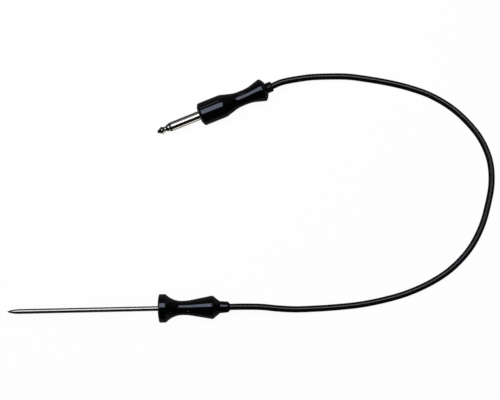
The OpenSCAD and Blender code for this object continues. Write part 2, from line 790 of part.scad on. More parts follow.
needle_tube();
needle_point();
thermistor_bead();
tip_filler();
thermistor_leads();
lead_sleeving();
needle_collar();
handle_body();
handle_end_cap();
cord_bushing();
cord_anchor();
handle_cord_jacket();
handle_cord_screen();
handle_cord_core();
handle_cord_wire();
core_splice();
splice_sleeve();
screen_splice();
screen_pigtail();
cord();
plug_tip();
tip_insulator();
plug_sleeve();
sleeve_lug();
lug_washer();
tip_lug();
solder_joints();
plug_liner();
plug_housing();
plug_grommet();
plug_cord_jacket();
plug_cord_screen();
plug_cord_core();
plug_cord_wire();
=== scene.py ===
"""Food temperature probe: a steel needle in a guarded handle, a screened cord and a phone plug."""
import math

import bmesh
import bpy
from mathutils import Matrix, Vector


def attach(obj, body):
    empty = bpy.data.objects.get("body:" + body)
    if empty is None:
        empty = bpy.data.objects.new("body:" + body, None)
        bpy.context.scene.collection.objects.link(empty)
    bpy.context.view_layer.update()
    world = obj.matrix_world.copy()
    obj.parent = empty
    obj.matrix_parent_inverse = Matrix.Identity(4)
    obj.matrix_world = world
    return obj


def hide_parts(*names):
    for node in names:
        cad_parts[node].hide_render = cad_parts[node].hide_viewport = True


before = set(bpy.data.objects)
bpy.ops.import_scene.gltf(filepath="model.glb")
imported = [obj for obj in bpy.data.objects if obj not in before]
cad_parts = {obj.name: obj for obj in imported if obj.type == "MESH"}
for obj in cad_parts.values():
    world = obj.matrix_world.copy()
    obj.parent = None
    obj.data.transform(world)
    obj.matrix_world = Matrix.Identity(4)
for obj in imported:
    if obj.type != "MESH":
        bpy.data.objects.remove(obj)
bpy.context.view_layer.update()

# ---- Camera ----
# A long lens looks straight down on the table from above the middle of the probe. It is turned a
# little about its own axis, so that the needle lies almost level in the picture.
MM = 0.001  # in metres: sizes are in millimetres where nothing else is said
VIEW_X, VIEW_Y, VIEW_TURN = 66.11, 74.53, math.radians(-1.25)
VIEW_WIDTH, VIEW_HEIGHT = 350, 1200  # of table across the picture, and of air above it
SENSOR_WIDTH = 36
scene = bpy.context.scene
scene.view_settings.view_transform = "Standard"
camera = bpy.data.objects.new("camera", bpy.data.cameras.new("camera"))
camera.data.sensor_width = SENSOR_WIDTH
camera.data.lens = SENSOR_WIDTH * VIEW_HEIGHT / VIEW_WIDTH
camera.location = Vector((VIEW_X, VIEW_Y, VIEW_HEIGHT)) * MM
camera.rotation_euler = (0, 0, VIEW_TURN)
scene.collection.objects.link(camera)
scene.camera = camera

# ---- Cord ----
# Screened single-core cord with an extruded PVC jacket, 4.5 mm thick. It leaves the end cap level,
# sinks to the table, swings round in one wide turn and rises again into the plug.
CORD_LENGTH, CORD_DIAMETER = 425, 4.5
CORD_EXIT, EXIT_RUN = 50.3, 8  # where it leaves the handle, and how far it runs straight there
PLUG_END, PLUG_TURN = Vector((83.5, 154, -1.8)), math.radians(20.6)
TABLE_TOP = -10
CORD_REST = TABLE_TOP + CORD_DIAMETER / 2
CORD_STEPS, CORD_SIDES = 8, 20  # points in each stretch of the route, and sides round the cord
ROUTE = [  # x, y and the rise above where the cord lies flat
    (72, -0.5, 6.9), (84, -2, 4.9), (96, -3, 2.5), (108, -3, 0.8), (122, -2.5, 0.1),
    (141, -1, 0), (158.5, 2, 0), (175.5, 6.5, 0), (193, 14, 0), (207.5, 23.5, 0),
    (220, 36.5, 0), (228.5, 51.5, 0), (233.5, 67, 0), (236.5, 83, 0), (235.5, 99, 0),
    (229.5, 114, 0), (220, 126.5, 0), (208.5, 137, 0), (194.5, 145.5, 0), (180, 151, 0),
    (165, 155, 0), (146.5, 158.5, 0.1), (134, 160, 0.7), (115, 160, 3.3), (104, 159, 5),
]
CORD_TONES, CORD_DUST = ((0.0013, 0.0012, 0.0024), (0.003, 0.0029, 0.0045)), (0.03, 0.03, 0.028)
DIE_LINE_SCALE, DIE_LINE_DEPTH, SKIN_DEPTH = (30.0, 70.0, 1.0), 0.5e-6, 0.8e-6  # depths in metres
plug_direction = Vector((math.cos(PLUG_TURN), math.sin(PLUG_TURN), 0))


def smooth_route(points, steps):
    """Points along the smooth curve through a cord's route."""
    ends = [2 * points[0] - points[1], *points, 2 * points[-1] - points[-2]]
    path = []
    for a, b, c, d in zip(ends, ends[1:], ends[2:], ends[3:]):
        for t in (step / steps for step in range(steps)):
            path.append(0.5 * (2 * b + (c - a) * t + (2 * a - 5 * b + 4 * c - d) * t ** 2
                               + (3 * b - a - 3 * c + d) * t ** 3))
    return [*path, points[-1]]


cord_path = smooth_route(
    [Vector((CORD_EXIT, 0, 0)), Vector((CORD_EXIT + EXIT_RUN, 0, 0))]
    + [Vector((x, y, CORD_REST + rise)) for x, y, rise in ROUTE]
    + [PLUG_END + EXIT_RUN * plug_direction, PLUG_END], CORD_STEPS)
cord_curve = bpy.data.curves.new("free_cord", "CURVE")
cord_curve.dimensions = "3D"
cord_curve.twist_mode = "Z_UP"
cord_curve.bevel_depth = CORD_DIAMETER / 2 * MM
cord_curve.bevel_resolution = (CORD_SIDES - 4) // 2  # 0 makes a round section of 4 sides
cord_curve.use_fill_caps = True
centreline = cord_curve.splines.new("POLY")
centreline.points.add(len(cord_path) - 1)
for point, place in zip(centreline.points, cord_path):
    point.co = (*(place * MM), 1)
centreline.use_smooth = True
free_cord = bpy.data.objects.new("free_cord", cord_curve)
scene.collection.objects.link(free_cord)


def add(tree, kind, inputs=None, **settings):
    """Adds a node with its settings, and with a socket or a value for each input that is named."""
    made = tree.nodes.new(kind)
    for key, value in settings.items():
        setattr(made, key, value)
    for key, value in (inputs or {}).items():
        if isinstance(value, bpy.types.NodeSocket):
            tree.links.new(value, made.inputs[key])
        else:
            made.inputs[key].default_value = value
    return made


def effect(name, inputs, outputs):
    """A node group with named inputs and outputs, ready for its nodes."""
    tree = bpy.data.node_groups.new(name, "ShaderNodeTree")
    for key, value in inputs.items():
        kind = "NodeSocketFloat" if isinstance(value, float) else "NodeSocketVector"
        socket = tree.interface.new_socket(name=key, in_out="INPUT", socket_type=kind)
        if isinstance(value, float):
            socket.default_value = value
    for key in outputs:
        tree.interface.new_socket(name=key, in_out="OUTPUT", socket_type="NodeSocketFloat")
    return tree, tree.nodes.new("NodeGroupInput").outputs, tree.nodes.new("NodeGroupOutput").inputs


def place_effect(tree, group, **inputs):
    """Puts an effect into a material with its own values, and returns its outputs."""
    return add(tree, "ShaderNodeGroup", inputs, node_tree=group).outputs


# Slow mottling of a surface: it varies the shine and the colour, as handling and moulding do
mottle, given, out = effect(
    "mottle", {"Vector": None, "Scale": 400.0, "Low": 0.1, "High": 0.2}, ("Mask", "Value"))
cloud = add(mottle, "ShaderNodeTexNoise", {
    "Vector": given["Vector"], "Scale": given["Scale"], "Detail": 4.0, "Roughness": 0.6})
mask = add(mottle, "ShaderNodeMapRange", {
    "Value": cloud.outputs["Fac"], "From Min": 0.3, "From Max": 0.7})
shine = add(mottle, "ShaderNodeMapRange", {
    "Value": mask.outputs["Result"], "To Min": given["Low"], "To Max": given["High"]})
mottle.links.new(mask.outputs["Result"], out["Mask"])
mottle.links.new(shine.outputs["Result"], out["Value"])

# Sparse specks of dust on black plastic and rubber; on the phenolic they are painted glints too
dust_and_glints, given, out = effect("dust_and_glints", {"Vector": None, "Scale": 900.0, "Amount": 0.1}, ("Mask",))
cells = add(dust_and_glints, "ShaderNodeTexVoronoi", {"Vector": given["Vector"], "Scale": given["Scale"]})
speck = add(dust_and_glints, "ShaderNodeMapRange", {
    "Value": cells.outputs["Distance"], "From Min": 0.08, "From Max": 0.2,
    "To Min": 1.0, "To Max": 0.0})
chosen = add(dust_and_glints, "ShaderNodeSeparateColor", {"Color": cells.outputs["Color"]})
kept = add(dust_and_glints, "ShaderNodeMath", {0: chosen.outputs["Red"], 1: given["Amount"]},
           operation="LESS_THAN")
specks = add(dust_and_glints, "ShaderNodeMath", {0: speck.outputs["Result"], 1: kept.outputs[0]},
             operation="MULTIPLY")
dust_and_glints.links.new(specks.outputs[0], out["Mask"])


def new_finish(name, **constants):
    """A material with constants on its shader, with its node tree and its Object coordinates."""
    material = bpy.data.materials.new(name)
    material.use_nodes = True
    tree = material.node_tree
    for key, value in constants.items():
        tree.nodes["Principled BSDF"].inputs[key.replace("_", " ")].default_value = value
    return material, tree, add(tree, "ShaderNodeTexCoord").outputs["Object"]


def lay_on(tree, **surface):
    """Joins to a finish's shader what varies over the surface, such as its Base_Color."""
    for key, socket in surface.items():
        tree.links.new(socket, tree.nodes["Principled BSDF"].inputs[key.replace("_", " ")])


def blend_colours(tree, factor, first, second):
    """A colour between two others, by a mask."""
    mix = add(tree, "ShaderNodeMix", {"Factor": factor}, data_type="RGBA")
    for socket, colour in zip([s for s in mix.inputs if s.type == "RGBA"], (first, second)):
        if isinstance(colour, bpy.types.NodeSocket):
            tree.links.new(colour, socket)
        else:
            socket.default_value = (*colour, 1)
    return next(s for s in mix.outputs if s.type == "RGBA")


def relief(tree, height, depth, normal=None):
    """A normal from a height map whose full range is depth, in metres."""
    inputs = {"Height": height, "Strength": 1.0, "Distance": depth}
    if normal:
        inputs["Normal"] = normal
    return add(tree, "ShaderNodeBump", inputs).outputs["Normal"]


# The jacket is smooth round the cord and faintly wavy along it, which draws out its sheen
cord_black, tree, at = new_finish(
    "cord_black", IOR=1.55, Specular_Tint=(0.92, 0.89, 1.0, 1), Anisotropic=1.0)
along = add(tree, "ShaderNodeMapping", {
    "Vector": add(tree, "ShaderNodeTexCoord").outputs["UV"], "Scale": DIE_LINE_SCALE})
die_lines = add(tree, "ShaderNodeTexNoise", {
    "Vector": along.outputs[0], "Scale": 1.0, "Detail": 2.0})
skin = add(tree, "ShaderNodeTexNoise", {"Vector": at, "Scale": 1800.0, "Detail": 3.0})
worn = place_effect(tree, mottle, Vector=at, Scale=260.0, Low=0.28, High=0.36)
specks = place_effect(tree, dust_and_glints, Vector=at, Scale=420.0, Amount=0.03)
black = blend_colours(tree, worn["Mask"], *CORD_TONES)
drawn = relief(tree, die_lines.outputs["Fac"], DIE_LINE_DEPTH)
lay_on(tree, Base_Color=blend_colours(tree, specks["Mask"], black, CORD_DUST),
       Roughness=worn["Value"], Normal=relief(tree, skin.outputs["Fac"], SKIN_DEPTH, drawn),
       Tangent=add(tree, "ShaderNodeTangent", direction_type="UV_MAP").outputs[0])
cord_curve.materials.append(cord_black)
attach(free_cord, "root")
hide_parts("cord")

# ---- Needle tube ----
# Drawn stainless tube, 3.4 mm thick, polished lengthwise. Its tang is drawn down, so that a
# shoulder seats on the front of the handle, and runs on through the front wall.
NEEDLE_R, TANG_R, TUBE_WALL, NEEDLE_SIDES = 1.7, 1.45, 0.35, 64
TUBE_START, TANG_END = -97.1, 12.8
STEEL_TONES, STEEL_LINES = ((0.44, 0.43, 0.415), (0.50, 0.49, 0.475)), (0.38, 0.37, 0.36)
STEEL_LINE_SCALE, STEEL_LINE_DEPTH = (0.02, 1.0, 1.0), 0.3e-6  # the depth in metres
ARC, ROUNDING_STEPS = "arc", 6
SEAM_GAP, SHARP_ANGLE = 1e-4, math.radians(32)  # corners this near are one; sharper edges stay


def turned(name, outline, sides, place=Matrix(), closed=True):
    """Turns half a section about the X axis, in mm, as a lathe does.

    The outline starts at a corner (x, radius) and goes on to corners (x, radius) or, rounded from
    some way back, (x, radius, back), and in arcs (ARC, x and radius of its centre, degrees,
    steps). A closed one runs back to its start.
    """
    shape = bmesh.new()
    start = end = shape.verts.new((outline[0][0], 0, outline[0][1]))
    rounded = []
    for stretch in outline[1:]:
        if stretch[0] == ARC:
            x, radius, degrees, steps = stretch[1:]
            arc = bmesh.ops.spin(
                shape, geom=[end], cent=(x, 0, radius), axis=(0, 1, 0), dvec=(0, 0, 0),
                angle=math.radians(degrees), steps=steps, use_merge=False)
            end = next(part for part in arc["geom_last"] if isinstance(part, bmesh.types.BMVert))
        else:
            end = bmesh.ops.extrude_vert_indiv(shape, verts=[end])["verts"][0]
            end.co = (stretch[0], 0, stretch[1])
            rounded += [(end, back) for back in stretch[2:]]
    if closed:
        shape.edges.new((end, start))
    for corner, back in rounded:
        bmesh.ops.bevel(shape, geom=[corner], offset=back, offset_type="OFFSET",
                        affect="VERTICES", segments=ROUNDING_STEPS, profile=0.5, material=-1)
    bmesh.ops.spin(shape, geom=shape.verts[:] + shape.edges[:], cent=(0, 0, 0), axis=(1, 0, 0),
                   dvec=(0, 0, 0), angle=math.tau, steps=sides, use_merge=True)
    bmesh.ops.remove_doubles(shape, verts=shape.verts[:], dist=SEAM_GAP)
    bmesh.ops.recalc_face_normals(shape, faces=shape.faces[:])
    bmesh.ops.transform(shape, matrix=place @ Matrix.Scale(MM, 4), verts=shape.verts[:])
    mesh = bpy.data.meshes.new(name)
    shape.to_mesh(mesh)
    shape.free()
    mesh.shade_smooth()
    mesh.set_sharp_from_angle(angle=SHARP_ANGLE)
    piece = bpy.data.objects.new(name, mesh)
    piece.modifiers.new("even_shading", "WEIGHTED_NORMAL").keep_sharp = True
    scene.collection.objects.link(piece)
    return piece


def stands_for(piece, node, finish):
    """Fits a finished piece to the probe in place of a CAD node."""
    piece.data.materials.append(finish)
    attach(piece, "root")
    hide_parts(node)


# Polishing lines: fine scratches that run the way in which the coordinates are drawn out
polish, given, out = effect(
    "polishing_lines", {"Vector": None, "Scale": 900.0}, ("Height", "Mask"))
lines = add(polish, "ShaderNodeTexNoise", {
    "Vector": given["Vector"], "Scale": given["Scale"], "Detail": 5.0, "Roughness": 0.7})
deep = add(polish, "ShaderNodeMapRange", {
    "Value": lines.outputs["Fac"], "From Min": 0.52, "From Max": 0.75})
polish.links.new(lines.outputs["Fac"], out["Height"])
polish.links.new(deep.outputs["Result"], out["Mask"])

needle_steel, tree, at = new_finish("needle_steel", Metallic=1.0)
drawn_out = add(tree, "ShaderNodeMapping", {"Vector": at, "Scale": STEEL_LINE_SCALE})
lines = place_effect(tree, polish, Vector=drawn_out.outputs[0], Scale=4000.0)
handled = place_effect(tree, mottle, Vector=at, Scale=150.0, Low=0.13, High=0.20)
steel = blend_colours(tree, handled["Mask"], *STEEL_TONES)
lay_on(tree, Base_Color=blend_colours(tree, lines["Mask"], steel, STEEL_LINES),
       Roughness=handled["Value"], Normal=relief(tree, lines["Height"], STEEL_LINE_DEPTH))

needle_tube = turned("needle_tube_steel", [
    (TUBE_START, NEEDLE_R - TUBE_WALL), (TUBE_START, NEEDLE_R), (0, NEEDLE_R), (0, TANG_R),
    (TANG_END, TANG_R), (TANG_END, TANG_R - TUBE_WALL), (-TUBE_WALL, TANG_R - TUBE_WALL),
    (-TUBE_WALL, NEEDLE_R - TUBE_WALL)], NEEDLE_SIDES)
stands_for(needle_tube, "needle_tube", needle_steel)

# ---- Needle point ----
# Solid stainless point, ground to a long ogive, with a spigot that is welded into the open end of
# the tube and polished flush with it.
POINT_LENGTH, POINT_POWER, POINT_STEPS = 8.4, 0.75, 20
SPIGOT_R, SPIGOT_END = 1.32, TUBE_START + 3


def ogive(share):
    """Corner of the point's outline at the square of a share of its length."""
    u = share ** 2
    return (TUBE_START - POINT_LENGTH * (1 - u), NEEDLE_R * (1 - (1 - u) ** 2) ** POINT_POWER)


needle_point = turned(
    "needle_point_ground", [ogive(step / POINT_STEPS) for step in range(POINT_STEPS + 1)]
    + [(TUBE_START, SPIGOT_R), (SPIGOT_END, SPIGOT_R), (SPIGOT_END, 0)],
    NEEDLE_SIDES, closed=False)
stands_for(needle_point, "needle_point", needle_steel)

# ---- Handle ----
# Grip in black phenolic, moulded as a blank, then turned and polished to a high gloss: a broad
# guard, a waist for the fingers and a flare back to the end cap. It is bored through for the needle
# and the leads.
SEAT_R, GUARD_R, GUARD_END = 2.5, 10, 5.5
FACE_DOME_R, FACE_TURN, FACE_STEPS = 30.2, 12.8, 8
FACE_EDGE_X, FACE_ROUNDING, GUARD_ROUNDING = 0.93, 0.72, 0.2
WAIST_X, WAIST_R = 17, 5
FRONT_HOLLOW_R, FRONT_STEPS, REAR_HOLLOW_R, REAR_STEPS = 15.6, 24, 38, 16
GRIP_R, GRIP_END, GRIP_SIDES = 8.2, 38, 128
RIM, RIM_ROUNDING = 0.25, 0.1
CHAMBER_R, SOCKET_R, SOCKET_X, FRONT_WALL = 3.3, 5.3, 30.8, 6
FIT = 0.03  # play between pieces that slide or screw together
# The phenolic's speck colour is bright: dust that also serves as painted glints
HANDLE_TONES, HANDLE_DUST_AND_GLINTS = ((0.0004, 0.0004, 0.0004), (0.0009, 0.0008, 0.0008)), (0.4, 0.4, 0.38)
RUB_SCALE, RUB_DEPTH, WAVE_DEPTH = (1.0, 0.08, 0.08), 0.3e-6, 5e-6  # depths in metres


def hollow_turn(run, rise, radius):
    """Angle that a hollow turns through from its level waist before it runs straight to an edge."""
    drop = radius - rise
    return math.atan2(run, drop) - math.acos(radius / math.hypot(run, drop))


front_turn = hollow_turn(WAIST_X - GUARD_END, GUARD_R - WAIST_R, FRONT_HOLLOW_R)
rear_turn = hollow_turn(GRIP_END - RIM - WAIST_X, GRIP_R - WAIST_R, REAR_HOLLOW_R)
handle = turned("handle_moulding", [
    (0, TANG_R + FIT), (0, SEAT_R), (ARC, FACE_DOME_R, SEAT_R, FACE_TURN, FACE_STEPS),
    (FACE_EDGE_X, GUARD_R, FACE_ROUNDING), (GUARD_END, GUARD_R, GUARD_ROUNDING),
    (WAIST_X - FRONT_HOLLOW_R * math.sin(front_turn),
     WAIST_R + FRONT_HOLLOW_R * (1 - math.cos(front_turn))),
    (ARC, WAIST_X, WAIST_R + FRONT_HOLLOW_R, -math.degrees(front_turn), FRONT_STEPS),
    (ARC, WAIST_X, WAIST_R + REAR_HOLLOW_R, -math.degrees(rear_turn), REAR_STEPS),
    (GRIP_END - RIM, GRIP_R, RIM_ROUNDING), (GRIP_END, GRIP_R - RIM), (GRIP_END, SOCKET_R),
    (SOCKET_X, SOCKET_R), (SOCKET_X, CHAMBER_R), (FRONT_WALL, CHAMBER_R),
    (FRONT_WALL, TANG_R + FIT)], GRIP_SIDES)

handle_black, tree, at = new_finish(
    "handle_black", IOR=1.63, Specular_Tint=(0.75, 0.80, 1.0, 1))
worn = place_effect(tree, mottle, Vector=at, Scale=180.0, Low=0.03, High=0.07)
# The bright specks on the phenolic are dust and painted glints
specks = place_effect(tree, dust_and_glints, Vector=at, Scale=700.0, Amount=0.02)
around = add(tree, "ShaderNodeMapping", {"Vector": at, "Scale": RUB_SCALE})
rubbed = place_effect(tree, polish, Vector=around.outputs[0], Scale=2600.0)
waves = add(tree, "ShaderNodeTexNoise", {"Vector": at, "Scale": 350.0, "Detail": 1.0})
black = blend_colours(tree, worn["Mask"], *HANDLE_TONES)
wavy = relief(tree, waves.outputs["Fac"], WAVE_DEPTH)
lay_on(tree, Base_Color=blend_colours(tree, specks["Mask"], black, HANDLE_DUST_AND_GLINTS),
       Roughness=worn["Value"], Normal=relief(tree, rubbed["Height"], RUB_DEPTH, wavy))
stands_for(handle, "handle_body", handle_black)

# ---- End cap ----
# Cone and neck in the same black phenolic, screwed into the back of the handle. A fine V groove
# shows where the two meet, and the neck closes round the cord.
CAP_FRONT, CONE_X, CONE_END, CONE_ROUNDING = 30.9, 38.5, 43.4, 0.12
NECK_R, NECK_ROUNDING, NECK_END, NECK_END_R, NECK_END_ROUNDING = 4.25, 0.5, 49, 3.85, 0.3
MOUTH_R, MOUTH_ROUNDING = 2.7, 0.2
BUSHING_X, BUSHING_END, BUSHING_R = 35.7, 47.1, 2.93
CORD_BORE_R = CORD_DIAMETER / 2 + FIT
end_cap = turned("end_cap_moulding", [
    (CAP_FRONT, CHAMBER_R), (CAP_FRONT, SOCKET_R - FIT), (GRIP_END, SOCKET_R - FIT),
    (GRIP_END, GRIP_R - RIM), (GRIP_END + RIM, GRIP_R, RIM_ROUNDING),
    (CONE_X, GRIP_R, CONE_ROUNDING), (CONE_END, NECK_R, NECK_ROUNDING),
    (NECK_END, NECK_END_R, NECK_END_ROUNDING), (CORD_EXIT, MOUTH_R, MOUTH_ROUNDING),
    (CORD_EXIT, CORD_BORE_R), (BUSHING_END, CORD_BORE_R), (BUSHING_END, BUSHING_R),
    (BUSHING_X, BUSHING_R), (BUSHING_X, CHAMBER_R)], GRIP_SIDES)
stands_for(end_cap, "handle_end_cap", handle_black)

# ---- Plug tip ----
# Tip contact of a 6.35 mm phone plug, turned from brass in one piece with its rod and nickelled:
# a blunt nose, a ball, the groove for the socket's spring and a shoulder.
PLUG_LENGTH, PLUG_SIDES = 86.7, 96  # the length from the nose to the end of the grommet
NOSE_R, BALL_X, BALL_R, NOSE_ROUNDING = 0.7, 3.4, 2.6, 0.28
GROOVE_X, GROOVE_END, GROOVE_R, GROOVE_ROUNDING = 5.6, 6.3, 1.7, 0.2
SHOULDER_X, SHOULDER_R, SHOULDER_ROUNDING, TIP_END = 8, 2.6, 0.1, 8.9
ROD_R, RIVET_X, RIVET_R, RIVET_RIM, RIVET_HEIGHT = 1.2, 44.1, 1.5, 0.4, 0.8
NICKEL_TONES, NICKEL_LINES = ((0.50, 0.485, 0.46), (0.56, 0.54, 0.51)), (0.46, 0.44, 0.41)
NICKEL_LINE_SCALE, NICKEL_LINE_DEPTH = (1.0, 0.05, 0.05), 0.8e-6  # the depth in metres
plug_nose = PLUG_END - PLUG_LENGTH * plug_direction
on_plug = Matrix.Translation(plug_nose * MM) @ Matrix.Rotation(PLUG_TURN, 4, "Z")


def along_plug(tree, at, scale):
    """Coordinates that run from the plug's nose along the plug, drawn out by a scale."""
    local = add(tree, "ShaderNodeMapping", {
        "Vector": at, "Location": plug_nose * MM, "Rotation": (0, 0, PLUG_TURN)},
        vector_type="TEXTURE")
    return add(tree, "ShaderNodeMapping", {"Vector": local.outputs[0], "Scale": scale}).outputs[0]


plug_nickel, tree, at = new_finish("plug_nickel", Metallic=1.0)
rings = place_effect(
    tree, polish, Vector=along_plug(tree, at, NICKEL_LINE_SCALE), Scale=3500.0)
handled = place_effect(tree, mottle, Vector=at, Scale=220.0, Low=0.08, High=0.17)
nickel = blend_colours(tree, handled["Mask"], *NICKEL_TONES)
lay_on(tree, Base_Color=blend_colours(tree, rings["Mask"], nickel, NICKEL_LINES),
       Roughness=handled["Value"], Normal=relief(tree, rings["Height"], NICKEL_LINE_DEPTH))

plug_tip = turned("plug_tip_contact", [
    (0, 0), (0, NOSE_R, NOSE_ROUNDING), (BALL_X, BALL_R, NOSE_ROUNDING),
    (GROOVE_X, GROOVE_R, GROOVE_ROUNDING), (GROOVE_END, GROOVE_R, GROOVE_ROUNDING),
    (SHOULDER_X, SHOULDER_R, SHOULDER_ROUNDING), (TIP_END, SHOULDER_R), (TIP_END, ROD_R),
    (RIVET_X, ROD_R), (RIVET_X, RIVET_R), (RIVET_X + RIVET_RIM, RIVET_R),
    (RIVET_X + RIVET_HEIGHT, ROD_R), (RIVET_X + RIVET_HEIGHT, 0)],
    PLUG_SIDES, on_plug, closed=False)
stands_for(plug_tip, "plug_tip", plug_nickel)

# ---- Insulating ring ----
# Black moulded ring that parts the tip from the sleeve. Its tube lines the sleeve all the way back
# to the solder lugs.
RING_END, RING_R, LINING_R, LINING_END = 10.4, 3.0, 2.03, 42.1
RING_TONES = (0.004, 0.004, 0.004), (0.012, 0.011, 0.01)
tip_ring = turned("tip_ring_moulding", [
    (TIP_END, ROD_R + FIT), (TIP_END, RING_R), (RING_END, RING_R), (RING_END, LINING_R),
    (LINING_END, LINING_R), (LINING_END, ROD_R + FIT)], PLUG_SIDES, on_plug)
insulator_black, tree, at = new_finish("insulator_black", IOR=1.5)
worn = place_effect(tree, mottle, Vector=at, Scale=500.0, Low=0.25, High=0.4)
lay_on(tree, Base_Color=blend_colours(tree, worn["Mask"], *RING_TONES), Roughness=worn["Value"])
stands_for(tip_ring, "tip_insulator", insulator_black)

# ---- Plug sleeve ----
# Nickelled brass barrel with a flange that closes the front of the housing, and a boss behind it
# that the housing screws on.
SLEEVE_R, SLEEVE_ROUNDING, FLANGE_R, BOSS_R = 3.175, 0.15, 5, 4.4
HOUSING_X, FLANGE_END, BOSS_END = 31.6, 33.6, 41.6
plug_sleeve = turned("plug_sleeve_contact", [
    (RING_END, LINING_R + FIT), (RING_END, SLEEVE_R, SLEEVE_ROUNDING), (HOUSING_X, SLEEVE_R),
    (HOUSING_X, FLANGE_R), (FLANGE_END, FLANGE_R), (FLANGE_END, BOSS_R), (BOSS_END, BOSS_R),
    (BOSS_END, LINING_R + FIT)], PLUG_SIDES, on_plug)
stands_for(plug_sleeve, "plug_sleeve", plug_nickel)

# ---- Plug housing ----
# Grip in the same black phenolic as the handle: a plain barrel in front, a waist, and a flare back
# to a domed end. It is bored from both ends.
BARREL_R, BARREL_END, HOUSING_SLOPE, HOUSING_END = 8.2, 49.4, 1.4, 82.4
BARREL_ROUNDING, BARREL_END_ROUNDING, FLARE_ROUNDING = 0.98, 1.2, 0.67
HOUSING_WAIST, HOUSING_WAIST_END, HOUSING_WAIST_R = 62.8, 65.8, 5.3
BARREL_HOLLOW_R, BARREL_HOLLOW_STEPS = 22, 24
FLARE_HOLLOW_R, FLARE_HOLLOW_STEPS, FLARE_X, FLARE_R = 24, 20, 79.3, 8.25
DOME_CENTRE_X, DOME_START_X, DOME_START_R, DOME_TURN, DOME_STEPS = 71.505, 80.59, 7.05, 19.1, 8
WIDE_BORE_END, WIDE_BORE_R, REAR_WALL_X, REAR_BORE_R, GROMMET_NECK_R = 53.6, 4.43, 79.4, 3.9, 2.9
barrel_turn = hollow_turn(HOUSING_WAIST - BARREL_END, BARREL_R - HOUSING_WAIST_R, BARREL_HOLLOW_R)
flare_turn = hollow_turn(FLARE_X - HOUSING_WAIST_END, FLARE_R - HOUSING_WAIST_R, FLARE_HOLLOW_R)
housing = turned("housing_moulding", [
    (HOUSING_X, FLANGE_R + FIT), (HOUSING_X + HOUSING_SLOPE, BARREL_R, BARREL_ROUNDING),
    (BARREL_END, BARREL_R, BARREL_END_ROUNDING),
    (HOUSING_WAIST - BARREL_HOLLOW_R * math.sin(barrel_turn),
     HOUSING_WAIST_R + BARREL_HOLLOW_R * (1 - math.cos(barrel_turn))),
    (ARC, HOUSING_WAIST, HOUSING_WAIST_R + BARREL_HOLLOW_R, -math.degrees(barrel_turn),
     BARREL_HOLLOW_STEPS),
    (HOUSING_WAIST_END, HOUSING_WAIST_R),
    (ARC, HOUSING_WAIST_END, HOUSING_WAIST_R + FLARE_HOLLOW_R, -math.degrees(flare_turn),
     FLARE_HOLLOW_STEPS),
    (FLARE_X, FLARE_R, FLARE_ROUNDING), (DOME_START_X, DOME_START_R),
    (ARC, DOME_CENTRE_X, 0, DOME_TURN, DOME_STEPS),
    (HOUSING_END, GROMMET_NECK_R + FIT), (REAR_WALL_X, GROMMET_NECK_R + FIT),
    (REAR_WALL_X, REAR_BORE_R), (WIDE_BORE_END, REAR_BORE_R), (WIDE_BORE_END, WIDE_BORE_R),
    (FLANGE_END, WIDE_BORE_R), (FLANGE_END, FLANGE_R + FIT)], GRIP_SIDES, on_plug)
stands_for(housing, "plug_housing", handle_black)

# ---- Grommet ----
# Black rubber grommet snapped into the back of the housing, where it grips the cord and keeps it
# from bending sharply.
GROMMET_X, GROMMET_FLANGE_R, GROMMET_R = 76.9, 3.84, 3.65
GROMMET_ROUNDING, GROMMET_END_ROUNDING = 0.3, 1.1
RUBBER_TONES, RUBBER_DUST = ((0.0015, 0.0015, 0.0015), (0.004, 0.004, 0.004)), (0.09, 0.09, 0.085)
RUBBER_SKIN_DEPTH = 1e-6  # in metres
grommet = turned("cord_grommet", [
    (GROMMET_X, CORD_BORE_R), (GROMMET_X, GROMMET_FLANGE_R), (REAR_WALL_X, GROMMET_FLANGE_R),
    (REAR_WALL_X, GROMMET_NECK_R), (HOUSING_END, GROMMET_NECK_R),
    (HOUSING_END, GROMMET_R, GROMMET_ROUNDING), (PLUG_LENGTH, GROMMET_R, GROMMET_END_ROUNDING),
    (PLUG_LENGTH, CORD_BORE_R)], PLUG_SIDES, on_plug)
grommet_black, tree, at = new_finish("grommet_black", IOR=1.3)
worn = place_effect(tree, mottle, Vector=at, Scale=400.0, Low=0.22, High=0.30)
specks = place_effect(tree, dust_and_glints, Vector=at, Scale=600.0, Amount=0.06)
skin = add(tree, "ShaderNodeTexNoise", {"Vector": at, "Scale": 2400.0, "Detail": 2.0})
black = blend_colours(tree, worn["Mask"], *RUBBER_TONES)
lay_on(tree, Base_Color=blend_colours(tree, specks["Mask"], black, RUBBER_DUST),
       Roughness=worn["Value"], Normal=relief(tree, skin.outputs["Fac"], RUBBER_SKIN_DEPTH))
stands_for(grommet, "plug_grommet", grommet_black)

